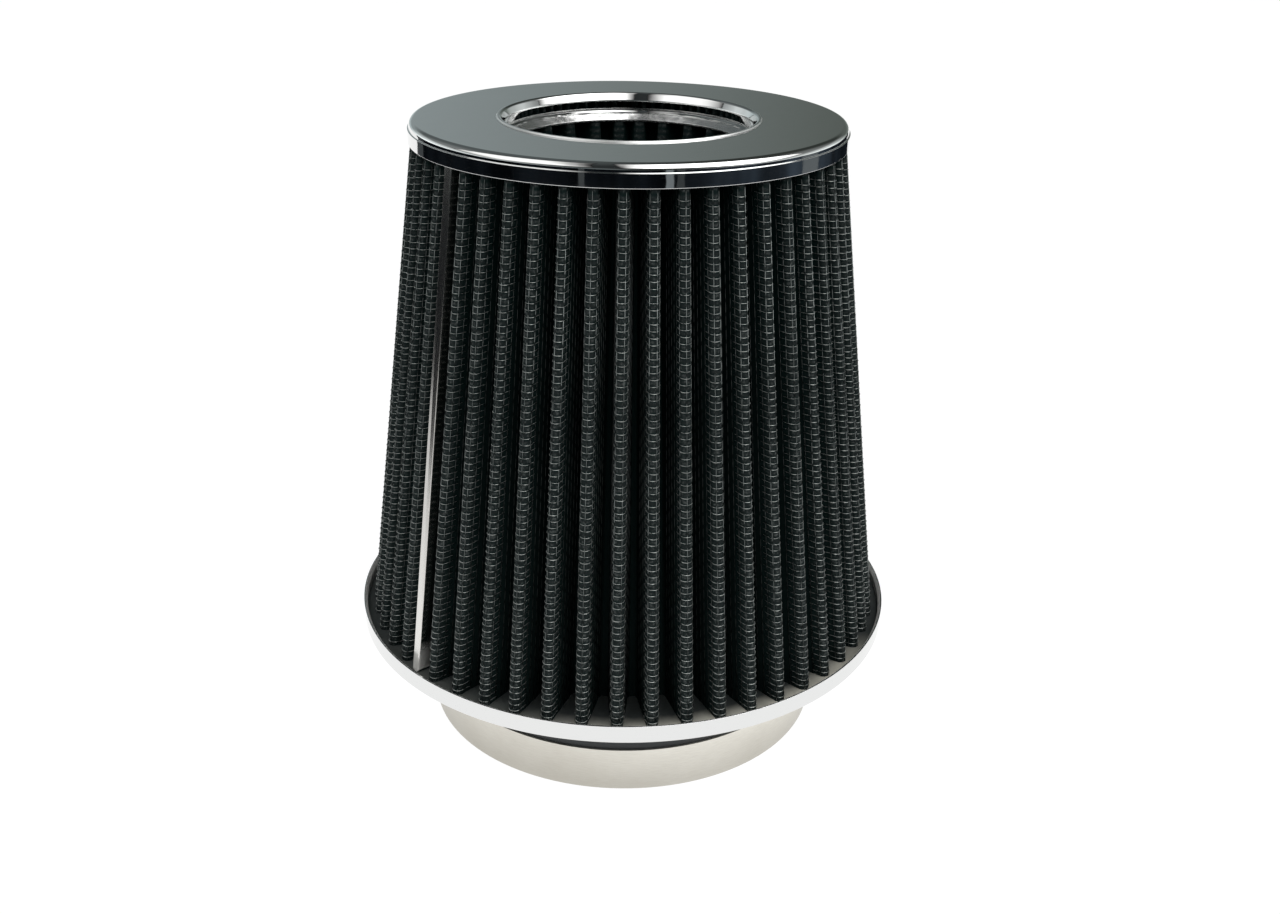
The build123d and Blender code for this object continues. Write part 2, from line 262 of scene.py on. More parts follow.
class Finish(Graph):
    """A material with one Principled shader and the piece's own coordinates."""

    def __init__(self, name, **constants):
        self.material = bpy.data.materials.new(name)
        self.material.use_nodes = True
        super().__init__(self.material.node_tree)
        self.shader = self.tree.nodes["Principled BSDF"]
        for key, value in constants.items():
            self.shader.inputs[key.replace("_", " ")].default_value = value
        self.place = self.add("ShaderNodeTexCoord").outputs["Object"]
        self.x, self.y, self.z = self.parts(self.place)

    def set(self, name, value):
        """Feed one of the shader's sockets."""
        self.feed(self.shader.inputs[name], value)

    def radius(self):
        """Distance from the filter's axis."""
        across = self.math("MULTIPLY", self.x, self.x)
        along = self.math("MULTIPLY", self.y, self.y)
        return self.math("SQRT", self.math("ADD", across, along))

    def below_crest(self):
        """Depth below the outer pleats' crests."""
        crest = self.spread(self.z, pleat_foot, pleat_head, crest_foot_radius, crest_head_radius)
        return self.math("SUBTRACT", crest, self.radius())

    def around(self, along_scale, height_scale):
        """Vector that runs around the axis and up it, for streaks that follow a ring."""
        angle = self.math("ARCTAN2", self.y, self.x)
        along = self.math("MULTIPLY", angle, along_scale)
        up = self.math("MULTIPLY", self.z, height_scale)
        return self.add("ShaderNodeCombineXYZ", {0: along, 1: up, 2: self.radius()}).outputs[0]


def chrome_finish():
    """Bright plate with faint smudges, a satin bead around the hole and a pale painted reflection
    inside the rim.
    """
    plate, painted_pale_tone = (0.79, 0.795, 0.79, 1), (0.8, 0.79, 0.76, 1)
    painted_pale_edge = rim_radius - 0.9 * rim_edge
    painted_pale_middle, painted_pale_half = rim_top - 1.5 * MM, 1.7 * MM
    bead_radius = hole_radius + lip_width + lip_run / 2
    bead_half, bead_end = 0.15 * MM, 0.25 * MM
    funnel_edge, funnel_end = hole_radius - 0.7 * MM, hole_radius - 0.3 * MM
    bead_dull, funnel_dull, painted_pale_dull = 0.32, 0.2, 0.5
    scuff_depth = 0.002
    finish = Finish("chrome_plate")
    radius = finish.radius()
    # Painted reflection: a pale non-metal band on the rim's inner wall stands in for its bright look.
    inside = finish.math("LESS_THAN", radius, painted_pale_edge)
    level = finish.apart(finish.z, painted_pale_middle)
    painted_pale_wall = finish.math("MULTIPLY", inside, finish.math("LESS_THAN", level, painted_pale_half))
    finish.set("Base Color", finish.blend(painted_pale_wall, plate, painted_pale_tone))
    finish.set("Metallic", finish.math("SUBTRACT", 1.0, painted_pale_wall))
    smudge = finish.noise(finish.place, scale=38.0, detail=4.0, roughness=0.6)
    polish = finish.spread(smudge, 0.45, 0.75, 0.035, 0.12)
    satin = finish.spread(finish.apart(radius, bead_radius), bead_half, bead_end, bead_dull, 0.0)
    bead = finish.math("MULTIPLY", satin, finish.math("GREATER_THAN", finish.z, cap_top - lip_rise))
    funnel = finish.spread(radius, funnel_edge, funnel_end, 1.0, 0.0)
    dull = finish.math("ADD", bead, finish.math("MULTIPLY", funnel, funnel_dull))
    dull = finish.math("ADD", dull, finish.math("MULTIPLY", painted_pale_wall, painted_pale_dull))
    finish.set("Roughness", finish.math("ADD", polish, dull))
    wave = finish.noise(finish.place, scale=150.0)
    uneven = finish.math("MULTIPLY", wave, finish.spread(funnel, 0.0, 1.0, 0.1, 1.0))
    scuff = finish.noise(finish.around(along_scale=9.0, height_scale=900.0), scale=6.0, detail=3.0)
    height = finish.math("ADD", uneven, finish.math("MULTIPLY", scuff, scuff_depth))
    finish.set("Normal", finish.bump(height, strength=1.0, distance=0.45 * MM))
    return finish.material


def strip_finish():
    """Bright seam strip, drawn lengthwise, with a painted reflection making its foot matte white and
    painted shade darkening it towards the cap.
    """
    bright, strip_shade_tone = (0.76, 0.75, 0.72, 1), (0.47, 0.46, 0.44, 1)
    strip_shade_from, strip_shade_to = 45.0 * MM, 105.0 * MM
    white_height = 9.0 * MM
    finish = Finish("seam_strip_metal")
    # Painted shade: darker towards the cap.
    dull = finish.spread(finish.z, strip_shade_from, strip_shade_to)
    finish.set("Base Color", finish.blend(dull, bright, strip_shade_tone))
    drawn = finish.noise(finish.around(along_scale=900.0, height_scale=30.0), scale=3.0, detail=3.0)
    # Painted reflection: matte at the foot, so the pale colour shows white there.
    finish.set("Metallic", finish.spread(finish.z, pour_level, pour_level + white_height))
    finish.set("Roughness", finish.spread(drawn, 0.3, 0.7, 0.14, 0.24))
    finish.set("Normal", finish.bump(drawn, strength=0.05, distance=0.05 * MM))
    return finish.material


def clamp_finish():
    """Satin stainless strip with a rolled grain along its length, darkened by painted shade towards its
    foot and left.
    """
    light, dark, clamp_shade_tone = (0.89, 0.87, 0.8, 1), (0.68, 0.65, 0.58, 1), (0.2, 0.185, 0.15, 1)
    grain_share, cloud_share = 0.6, 0.4
    shade_foot, shade_head = 2.5 * MM, 14.0 * MM
    shade_left, shade_right = -52.0 * MM, 25.0 * MM
    finish = Finish("satin_clamp_steel", Metallic=1.0)
    length = finish.around(along_scale=7.0, height_scale=1500.0)
    grain = finish.noise(length, scale=3.0, detail=5.0, roughness=0.65)
    cloud = finish.noise(finish.place, scale=45.0, detail=3.0)
    grained = finish.math("MULTIPLY", grain, grain_share)
    tone = finish.math("ADD", grained, finish.math("MULTIPLY", cloud, cloud_share))
    worn = finish.blend(finish.spread(tone, 0.3, 0.7), dark, light)
    # Painted shade: darker towards the foot and towards the left.
    unshaded_upward = finish.spread(finish.z, shade_foot, shade_head, 0.62, 1.0)
    unshaded_right = finish.spread(finish.x, shade_left, shade_right, 0.8, 1.0)
    unshaded = finish.math("MULTIPLY", unshaded_upward, unshaded_right)
    finish.set("Base Color", finish.blend(unshaded, clamp_shade_tone, worn))
    finish.set("Roughness", finish.spread(grain, 0.25, 0.75, 0.3, 0.46))
    finish.set("Normal", finish.bump(grain, strength=0.12, distance=0.06 * MM))
    return finish.material


def rubber_finish():
    """Moulded black rubber with a fine satin skin."""
    dark, pale = (0.022, 0.025, 0.027, 1), (0.04, 0.044, 0.046, 1)
    finish = Finish("moulded_rubber", Specular_IOR_Level=0.5)
    mottle = finish.noise(finish.place, scale=60.0, detail=4.0)
    finish.set("Base Color", finish.blend(mottle, dark, pale))
    finish.set("Roughness", finish.spread(mottle, 0.3, 0.7, 0.42, 0.6))
    skin = finish.noise(finish.place, scale=1400.0)
    finish.set("Normal", finish.bump(skin, strength=0.15, distance=0.08 * MM))
    return finish.material


def potting_finish():
    """Poured pale compound, darkened grey by painted shade all over but for spots along the rim at the
    front right.
    """
    pale, pour_shade_tone = (0.62, 0.6, 0.52, 1), (0.04, 0.046, 0.045, 1)
    shade_edge_wander = 5.0 * MM
    unshaded_from, unshaded_to = 68.0 * MM, 73.5 * MM
    side_left, side_right = -30.0 * MM, 22.0 * MM
    front_edge, front_end = -44.0 * MM, -26.0 * MM
    finish = Finish("sealing_compound", Specular_IOR_Level=0.35)
    # Painted shade: grey-black inward from the rim, on the left and towards the back; the pale colour
    # shows only near the rim at the front right.
    pour_mottle = finish.noise(finish.place, scale=90.0, detail=4.0, roughness=0.6)
    wander = finish.math("MULTIPLY", finish.math("SUBTRACT", pour_mottle, 0.5), shade_edge_wander)
    edge = finish.math("ADD", finish.radius(), wander)
    unshaded = finish.spread(edge, unshaded_from, unshaded_to)
    side = finish.spread(finish.x, side_left, side_right, 0.05, 0.9)
    front = finish.spread(finish.y, front_edge, front_end, 1.0, 0.0)
    painted_lit_share = finish.math("MULTIPLY", finish.math("MULTIPLY", unshaded, side), front)
    finish.set("Base Color", finish.blend(painted_lit_share, pour_shade_tone, pale))
    finish.set("Roughness", finish.spread(pour_mottle, 0.3, 0.7, 0.4, 0.65))
    ripple = finish.noise(finish.place, scale=260.0, detail=3.0)
    finish.set("Normal", finish.bump(ripple, strength=0.35, distance=0.3 * MM))
    return finish.material


def lit_bands(finish, value, pitch, width):
    """Bands of painted light repeated along a value, halfway between the marks of a pitch."""
    step = finish.math("MULTIPLY", value, 1.0 / pitch)
    offset = finish.apart(finish.math("FRACT", step), 0.5)
    return finish.spread(offset, 0.0, width / pitch, 1.0, 0.0)


def cotton_finish(finish, proud):
    """Black cotton with lint specks on the folds that stand proud, most of all between the rows;
    elsewhere painted shade and the rows' painted shadows darken it near to black. All a little darker
    towards the head.
    """
    fluff_foot, fluff_head = (0.112, 0.124, 0.121, 1), (0.066, 0.073, 0.071, 1)
    cotton_shade_foot, cotton_shade_head = (0.0075, 0.0165, 0.0157, 1), (0.001, 0.0075, 0.007, 1)
    bare_cotton = (0.0115, 0.015, 0.0152, 1)
    line_width = 0.42 * row_pitch
    lint = finish.noise(finish.place, scale=1200.0, detail=4.0, roughness=0.65)
    speck = finish.spread(lint, 0.5, 0.72)
    climb = finish.spread(finish.z, pour_level, pleat_head)
    dusty = finish.blend(speck, bare_cotton, finish.blend(climb, fluff_foot, fluff_head))
    # Painted shade near to black off the proud folds, a little darker towards the head.
    cotton_shade = finish.blend(climb, cotton_shade_foot, cotton_shade_head)
    # Painted shadow of the row wires: the cotton is left lit only halfway between the rows.
    row_gap_light = lit_bands(finish, finish.math("SUBTRACT", finish.z, first_row), row_pitch, line_width)
    lit = finish.math("MULTIPLY", proud, finish.spread(row_gap_light, 0.0, 0.8, 0.12, 1.0))
    finish.set("Base Color", finish.blend(lit, cotton_shade, dusty))
    finish.set("Roughness", finish.spread(lint, 0.3, 0.7, 0.8, 1.0))
    finish.set("Normal", finish.bump(lint, strength=0.5, distance=0.12 * MM))


def media_finish():
    """Sheet of the outer pleats."""
    fold_edge, fold_end = 0.1 * MM, 2.6 * MM
    finish = Finish("black_filter_media", Specular_IOR_Level=0.06)
    cotton_finish(finish, finish.spread(finish.below_crest(), fold_edge, fold_end, 1.0, 0.0))
    return finish.material


def inner_media_finish():
    """Sheet of the inner cone, whose folds towards the hole get painted light."""
    fold_edge, fold_end = 0.2 * MM, 2.2 * MM
    tip_foot = inner_foot_radius - (inner_high.x - collar_mouth)
    finish = Finish("black_inner_media", Specular_IOR_Level=0.06)
    tip = finish.spread(finish.z, inner_low.z, inner_high.z, tip_foot, collar_mouth)
    behind = finish.math("SUBTRACT", finish.radius(), tip)
    cotton_finish(finish, finish.spread(behind, fold_edge, fold_end, 1.0, 0.0))
    return finish.material


def row_finish():
    """Dark-coated cross wires of the woven screen, painted bright as highlights over and between the
    uprights.
    """
    coated, bright = (0.05, 0.056, 0.055, 1), (0.85, 0.88, 0.85, 1)
    finish = Finish("screen_row_wire", Metallic=0.78)
    tone = finish.noise(finish.place, scale=650.0, detail=3.0)
    painted_lit_share = finish.add("ShaderNodeAttribute", attribute_name="painted_lit_share").outputs["Fac"]
    shine = finish.math("MULTIPLY", painted_lit_share, finish.spread(tone, 0.35, 0.65, 0.45, 1.0))
    finish.set("Base Color", finish.blend(shine, coated, bright))
    finish.set("Roughness", finish.spread(tone, 0.3, 0.7, 0.24, 0.4))
    return finish.material


def upright_finish():
    """Dark-coated upright wires, with painted highlights in dashes where they come out over the rows,
    weaker off the crest as painted shade.
    """
    coated, bright = (0.018, 0.024, 0.0235, 1), (0.24, 0.265, 0.26, 1)
    fold_edge, fold_end = 0.5 * MM, 3.0 * MM
    finish = Finish("screen_upright_wire", Metallic=0.8)
    climb = finish.math("MULTIPLY", finish.z, 1 / (row_kinds * row_pitch))
    across = finish.math("MULTIPLY", finish.below_crest(), 1 / (row_kinds * upright_pitch))
    turn = finish.math("FRACT", finish.math("ADD", climb, across))
    # Painted highlight in dashes where the wire comes out over a row, weaker off the crest as painted
    # shade.
    dash_highlight = finish.spread(finish.apart(turn, 0.5), 0.1, 0.2)
    proud = finish.spread(finish.below_crest(), fold_edge, fold_end, 1.0, 0.3)
    shine = finish.math("MULTIPLY", dash_highlight, proud)
    finish.set("Base Color", finish.blend(shine, coated, bright))
    tone = finish.noise(finish.place, scale=500.0)
    finish.set("Roughness", finish.spread(tone, 0.3, 0.7, 0.3, 0.45))
    return finish.material


def dress(node, material):
    """Give a CAD node its finish."""
    mesh = frame["nodes"][node].data
    mesh.materials.clear()
    mesh.materials.append(material)


def keep_piece(piece, body, slot, *nodes):
    """Let a finished piece ride on a body, in place of the nodes it stands for; its slot is not used.
    """
    if piece.name not in scene.collection.objects:
        scene.collection.objects.link(piece)
    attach(piece, body)
    if nodes:
        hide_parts(*nodes)


def plain_mesh(name, verts, faces):
    """Mesh from its vertices and faces."""
    mesh = bpy.data.meshes.new(name)
    mesh.from_pydata(verts, [], faces)
    return mesh


def rounded_outline(corners):
    """Points and outward normals along an outline of (radius, height, bend) corners, turned left."""
    points = []
    count = len(corners)
    for index, (radius, height, bend) in enumerate(corners):
        corner = Vector((radius, height))
        before = Vector(corners[index - 1][:2])
        after = Vector(corners[(index + 1) % count][:2])
        inward = (corner - before).normalized()
        outward = (after - corner).normalized()
        turn = math.atan2(inward.x * outward.y - inward.y * outward.x, inward.dot(outward))
        side = math.copysign(1.0, turn)
        start = corner - inward * bend * math.tan(abs(turn) / 2)
        left = Vector((-inward.y, inward.x)) * side
        middle = start + left * bend
        steps = max(bend_steps_least, math.ceil(abs(turn) / bend_step))
        for step in range(steps + 1):
            spoke = (Matrix.Rotation(turn * step / steps, 2) @ -left).normalized()
            points.append((middle + spoke * bend, spoke * side))
    return points


def turned(name, corners, material):
    """Ring mesh turned from a rounded outline, with the outline's own normals."""
    outline = rounded_outline(corners)
    verts, normals, faces = [], [], []
    count = len(outline)
    for step in range(rolled_steps):
        angle = 2 * math.pi * step / rolled_steps
        across, along = math.cos(angle), math.sin(angle)
        for point, normal in outline:
            verts.append((point.x * across, point.x * along, point.y))
            normals.append((normal.x * across, normal.x * along, normal.y))
        here = step * count
        there = (step + 1) % rolled_steps * count
        for index in range(count):
            beside = (index + 1) % count
            faces.append((here + index, there + index, there + beside, here + beside))
    mesh = plain_mesh(name, verts, faces)
    mesh.shade_smooth()
    mesh.normals_split_custom_set_from_vertices(normals)
    mesh.materials.append(material)
    return bpy.data.objects.new(name, mesh)


def cap_shell(material):
    """Pressed cap with its skirt, stepped shoulder, flat top and rolled lip."""
    upper = cap_radius - crease_step
    crease = cap_top - crease_drop
    under = cap_top - cap_sheet
    tube_foot = cap_top - tube_depth
    lip_crown = hole_radius + lip_width
    corners = [
        (cap_radius, skirt_foot, cap_end),
        (cap_radius, crease, crease_edge),
        (upper, crease + crease_rise, crease_edge),
        (upper, cap_top, shoulder_bend),
        (lip_crown + lip_run, cap_top, lip_edge),
        (lip_crown, lip_top, lip_edge),
        (hole_radius + lip_shoulder, lip_top, lip_shoulder),
        (hole_radius, lip_top - lip_throat, lip_bend),
        (hole_radius, tube_foot, cap_end),
        (hole_radius + cap_sheet, tube_foot, cap_end),
        (hole_radius + cap_sheet, under, lip_bend - cap_sheet),
        (upper - cap_sheet, under, shoulder_bend - cap_sheet),
        (upper - cap_sheet, crease, sheet_edge),
        (cap_radius - cap_sheet, crease - crease_rise, sheet_edge),
        (cap_radius - cap_sheet, skirt_foot, cap_end),
    ]
    return turned("cap_shell", corners, material)


def collar_funnel(material):
    """Second bright ring below the lip, a funnel into the inner cone."""
    inner = collar_high.x - collar_sheet
    grip_foot = cap_top - tube_depth - sheet_gap
    foot = collar_low.z
    corners = [
        (collar_high.x, grip_foot - collar_sheet, sheet_edge),
        (collar_high.x, collar_high.z, pressed_edge),
        (inner, collar_high.z, pressed_edge),
        (inner, grip_foot, pressed_edge),
        (collar_mouth, foot + collar_lip, crease_edge),
        (collar_mouth, foot, pressed_edge),
        (collar_mouth + collar_sheet, foot, pressed_edge),
        (collar_mouth + collar_sheet, foot + collar_lip, sheet_edge),
    ]
    return turned("collar_funnel", corners, material)


def pan_tray(material):
    """Pressed tray whose rim shows all round the foot of the pleats."""
    floor = pan_bottom + pan_sheet
    inner = rim_radius - pan_sheet
    corners = [
        (pan_hole_radius, pan_bottom, pressed_edge),
        (rim_radius - pan_chamfer, pan_bottom, pan_edge),
        (rim_radius, pan_bottom + pan_chamfer, pan_edge),
        (rim_radius, rim_top, rim_bend),
        (rim_radius - rim_edge, rim_top, rim_bend),
        (inner, rim_top - rim_slope, rim_bend),
        (inner, floor, pressed_edge),
        (pan_hole_radius, floor, pressed_edge),
    ]
    return turned("pan_tray", corners, material)


def lowered(name, node, from_low, to_high, material):
    """Copy of a CAD node, lowered between two heights to the pour's real level, along the taper."""
    mesh = frame["nodes"][node].data.copy()
    mesh.name = name
    shape = bmesh.new()
    shape.from_mesh(mesh)
    bmesh.ops.remove_doubles(shape, verts=shape.verts, dist=merge_distance)
    flare = pour_drop * (crest_foot_radius - crest_head_radius) / (pleat_head - pleat_foot)
    for vert in shape.verts:
        if from_low < vert.co.z < to_high:
            grow = 1 + flare / vert.co.xy.length if node != "base_potting" else 1
            vert.co = (vert.co.x * grow, vert.co.y * grow, vert.co.z - pour_drop)
    shape.to_mesh(mesh)
    shape.free()
    mesh.shade_smooth()
    mesh.set_sharp_from_angle(angle=sharp_angle)
    mesh.materials.clear()
    mesh.materials.append(material)
    return bpy.data.objects.new(name, mesh)


def on_pleat(distance, lift, fold):
    """Place on a crest's section: along the sheet from the crest's tip, and lifted off it."""
    side = math.copysign(1.0, distance)
    arc = fold * (math.pi / 2 - math.atan(flank_slope))
    bend = min(abs(distance), arc) / fold
    normal = Vector((math.sin(bend), -math.cos(bend)))
    point = Vector((0.0, fold)) + normal * fold
    beyond = max(0.0, abs(distance) - arc)
    point += Vector((-normal.y, normal.x)) * beyond + normal * lift
    return Vector((point.x * side, point.y))


def tube(rings):
    """Vertices and faces of a closed three-sided wire through rings of three points."""
    verts = [corner for ring in rings for corner in ring]
    faces = []
    for index in range(len(rings) - 1):
        for side in range(3):
            beside = (side + 1) % 3
            low, high = 3 * index, 3 * index + 3
            faces.append((low + side, low + beside, high + beside, high + side))
    last = 3 * len(rings) - 3
    faces += [(2, 1, 0), (last, last + 1, last + 2)]
    return verts, faces


def row_wire(phase, is_over):
    """One row wire across a crest, at the crest's mean size, over and under the uprights."""
    rings, painted_lit_share = [], []
    for step in range(row_steps + 1):
        distance = row_reach * (2 * step / row_steps - 1)
        turn = math.pi * (distance / upright_pitch - phase)
        weave = math.cos(turn) if is_over else -math.cos(turn)
        lift = row_lift + weave_swing * weave
        # Painted highlight and shade: bright between and over the uprights, dark where the row dips
        # under one
        painted_lit_share += [max(abs(math.sin(turn)) ** painted_light_power, painted_light_over * weave)] * 3
        low = on_pleat(distance, lift - wire_radius, crest_fold_mean)
        high = on_pleat(distance, lift + wire_radius, crest_fold_mean)
        back = low + (high - low) * (1 - wire_back) / 2
        half = wire_radius * wire_half
        rings.append([(high.x, high.y, 0.0), (back.x, back.y, -half), (back.x, back.y, half)])
    return (*tube(rings), painted_lit_share)


def upright_wires(phase):
    """The upright wires of one pleat, seen from its crest at the front, foot to head."""
    verts, faces = [], []
    reach = math.floor(upright_reach / upright_pitch)
    for number in range(-reach, reach + 1):
        distance = (number + phase) * upright_pitch
        rings = []
        for height in (screen_foot, screen_head):
            share = (height - pleat_foot) / (pleat_head - pleat_foot)
            fold = crest_fold_foot + share * (crest_fold_head - crest_fold_foot)
            radius = crest_foot_radius + share * (crest_head_radius - crest_foot_radius)
            scale = fold / crest_fold_mean
            centre = on_pleat(distance * scale, upright_lift, fold)
            outer = on_pleat(distance * scale, upright_lift + wire_radius, fold) - centre
            side = Vector((-outer.y, outer.x)) * wire_half
            back = centre - outer * wire_back
            corners = [centre + outer, back + side, back - side]
            rings.append([(corner.x, corner.y - radius, height) for corner in corners])
        wire_verts, wire_faces = tube(rings)
        faces += [[index + len(verts) for index in face] for face in wire_faces]
        verts += wire_verts
    return verts, faces, [0.0] * len(verts)


def pattern_object(name, verts, faces, painted_lit_share, collection):
    """Mesh object that a tree repeats, kept in a collection of its own, with the painted light share of
    its wires.
    """
    mesh = plain_mesh(name, verts, faces)
    mesh.update()
    mesh.attributes.new("painted_lit_share", "FLOAT", "POINT").data.foreach_set("value", painted_lit_share)
    collection.objects.link(bpy.data.objects.new(name, mesh))


class ScreenGraph(Graph):
    """Tree that lays wires over a run of pleats, with named inputs."""

    def __init__(self, name, wires):
        super().__init__(bpy.data.node_groups.new(name, "GeometryNodeTree"))
        face = self.tree.interface
        face.new_socket("Geometry", in_out="INPUT", socket_type="NodeSocketGeometry")
        face.new_socket("Geometry", in_out="OUTPUT", socket_type="NodeSocketGeometry")
        rows = math.floor((screen_head - screen_foot) / row_pitch) - 1
        self.add_input("First pleat", "NodeSocketInt", 0)
        self.add_input("Pleats", "NodeSocketInt", pleat_count)
        self.add_input("Rows", "NodeSocketInt", rows)
        self.add_input("Row pitch", "NodeSocketFloat", row_pitch)
        self.add_input("Wires", "NodeSocketCollection", wires)
        self.add_input("Wire finish", "NodeSocketMaterial", None)
        self.add_input("Seed", "NodeSocketInt", screen_seed)
        self.given = self.add("NodeGroupInput").outputs
        self.index = self.add("GeometryNodeInputIndex").outputs[0]

    def add_input(self, name, kind, value):
        """Named input of the tree."""
        socket = self.tree.interface.new_socket(name, in_out="INPUT", socket_type=kind)
        if value is not None:
            socket.default_value = value

    def pleat_angle(self, pleat):
        """Angle of a pleat's crest from the front."""
        crest = self.math("ADD", pleat, seam_pitch_share)
        return self.math("ADD", self.math("MULTIPLY", crest, pleat_pitch), seam_angle)

    def phase_choice(self, pleat):
        """Which of the screen's phases a pleat gets, drawn at random with the tree's seed."""
        inputs = {"ID": pleat, "Seed": self.given["Seed"]}
        drawn = self.add("FunctionNodeRandomValue", inputs, data_type="FLOAT").outputs[1]
        return self.math("FLOOR", self.math("MULTIPLY", drawn, len(screen_phases) - phase_margin))

    def lay(self, points, choice, angle, scale):
        """Lay the chosen wires on points, turned about the axis, as one plain mesh."""
        euler = self.add("ShaderNodeCombineXYZ", {2: angle}).outputs[0]
        wires = self.add("GeometryNodeCollectionInfo", {0: self.given["Wires"], 1: True, 2: True})
        inputs = {
            "Points": points,
            "Instance": wires.outputs[0],
            "Pick Instance": True,
            "Instance Index": choice,
            "Rotation": self.add("FunctionNodeEulerToRotation", {0: euler}).outputs[0],
            "Scale": scale,
        }
        laid = self.add("GeometryNodeInstanceOnPoints", inputs).outputs[0]
        smooth = self.add("GeometryNodeSetShadeSmooth", {0: laid}).outputs[0]
        real = self.add("GeometryNodeRealizeInstances", {0: smooth}).outputs[0]
        coat = {"Geometry": real, "Material": self.given["Wire finish"]}
        coated = self.add("GeometryNodeSetMaterial", coat)
        self.add("NodeGroupOutput", {0: coated.outputs[0]})


def row_tree(wires):
    """Tree for the row wires, up every crest and sized to its taper."""
    graph = ScreenGraph("screen_rows", wires)
    number = graph.math("FLOOR", graph.math("DIVIDE", graph.index, graph.given["Rows"]))
    row = graph.math("SUBTRACT", graph.index, graph.math("MULTIPLY", number, graph.given["Rows"]))
    pleat = graph.math("ADD", number, graph.given["First pleat"])
    climb = graph.math("MULTIPLY", row, graph.given["Row pitch"])
    height = graph.math("ADD", climb, first_row)
    share = graph.spread(height, pleat_foot, pleat_head)
    radius = graph.spread(share, 0.0, 1.0, crest_foot_radius, crest_head_radius)
    foot_scale, head_scale = crest_fold_foot / crest_fold_mean, crest_fold_head / crest_fold_mean
    scale = graph.spread(share, 0.0, 1.0, foot_scale, head_scale)
    angle = graph.pleat_angle(pleat)
    across = graph.math("MULTIPLY", radius, graph.math("SINE", angle))
    along = graph.math("MULTIPLY", graph.math("MULTIPLY", radius, graph.math("COSINE", angle)), -1.0)
    place = graph.add("ShaderNodeCombineXYZ", {0: across, 1: along, 2: height}).outputs[0]
    total = graph.math("MULTIPLY", graph.given["Pleats"], graph.given["Rows"])
    points = graph.add("GeometryNodePoints", {"Count": total, "Position": place}).outputs[0]
    kind = graph.math("MODULO", row, row_kinds)
    choice = graph.math("ADD", graph.math("MULTIPLY", graph.phase_choice(pleat), row_kinds), kind)
    graph.lay(points, choice, angle, scale)
    return graph.tree


def upright_tree(wires):
    """Tree for the upright wires, one set to a pleat."""
    graph = ScreenGraph("screen_uprights", wires)
    pleat = graph.math("ADD", graph.index, graph.given["First pleat"])
    points = graph.add("GeometryNodePoints", {"Count": graph.given["Pleats"]}).outputs[0]
    graph.lay(points, graph.phase_choice(pleat), graph.pleat_angle(pleat), (1.0, 1.0, 1.0))
    return graph.tree


def grown(name, tree, values):
    """Plain mesh piece from a tree, with its named inputs set."""
    host = bpy.data.objects.new(name + "_host", bpy.data.meshes.new(name + "_host"))
    scene.collection.objects.link(host)
    modifier = host.modifiers.new("tree", "NODES")
    modifier.node_group = tree
    for item in tree.interface.items_tree:
        if item.name in values:
            modifier[item.identifier] = values[item.name]
    depsgraph = bpy.context.evaluated_depsgraph_get()
    mesh = bpy.data.meshes.new_from_object(host.evaluated_get(depsgraph))
    mesh.name = name
    host.modifiers.remove(modifier)
    bpy.data.objects.remove(host)
    return bpy.data.objects.new(name, mesh)


def woven_screens():
    """The wire screen over the outer pleats: its rows in two halves, and its uprights."""
    row_wires = bpy.data.collections.new("row_wires")
    uprights = bpy.data.collections.new("uprights")
    for number, phase in enumerate(screen_phases):
        pattern_object(f"row_{number}_a", *row_wire(phase, True), row_wires)
        pattern_object(f"row_{number}_b", *row_wire(phase, False), row_wires)
        pattern_object(f"upright_{number}", *upright_wires(phase), uprights)
    rows = row_tree(row_wires)
    bright = row_finish()
    half = pleat_count // 2
    screens = []
    for name, first in (("screen_rows_right", 0), ("screen_rows_left", half)):
        screens.append(grown(name, rows, {"First pleat": first, "Pleats": half, "Wire finish": bright}))
    screens.append(grown("screen_uprights", upright_tree(uprights), {"Wire finish": upright_finish()}))
    for collection in (row_wires, uprights):
        for pattern in list(collection.objects):
            bpy.data.objects.remove(pattern)
        bpy.data.collections.remove(collection)
    return screens


def add_camera():
    """Camera at the photo's place."""
    across = math.sin(camera_yaw) * math.cos(camera_pitch)
    along = math.cos(camera_yaw) * math.cos(camera_pitch)
    forward = Vector((across, along, -math.sin(camera_pitch)))
    level = forward.cross(Vector((0, 0, 1))).normalized()
    upright = level.cross(forward)
    right = level * math.cos(camera_roll) + upright * math.sin(camera_roll)
    up = upright * math.cos(camera_roll) - level * math.sin(camera_roll)
    data = bpy.data.cameras.new("photo_camera")
    data.sensor_width = camera_sensor
    data.lens = camera_lens
    data.clip_start = camera_near
    camera = bpy.data.objects.new("photo_camera", data)
    turn = Matrix((right, up, -forward)).transposed()
    camera.matrix_world = Matrix.Translation((0, -camera_distance, camera_height)) @ turn.to_4x4()
    scene.collection.objects.link(camera)
    scene.camera = camera


def stage_piece(name, verts, faces, material):
    """Piece of the studio, which is no part of the filter."""
    mesh = plain_mesh(name, verts, faces)
    mesh.materials.append(material)
    piece = bpy.data.objects.new(name, mesh)
    scene.collection.objects.link(piece)
    return piece


def glow_material(name, colour, strength):
    """Plain glowing surface."""
    material = bpy.data.materials.new(name)
    material.use_nodes = True
    graph = Graph(material.node_tree)
    graph.tree.nodes.clear()
    glow = graph.add("ShaderNodeEmission", {0: colour, 1: strength})
    graph.add("ShaderNodeOutputMaterial", {0: glow.outputs[0]})
    return material


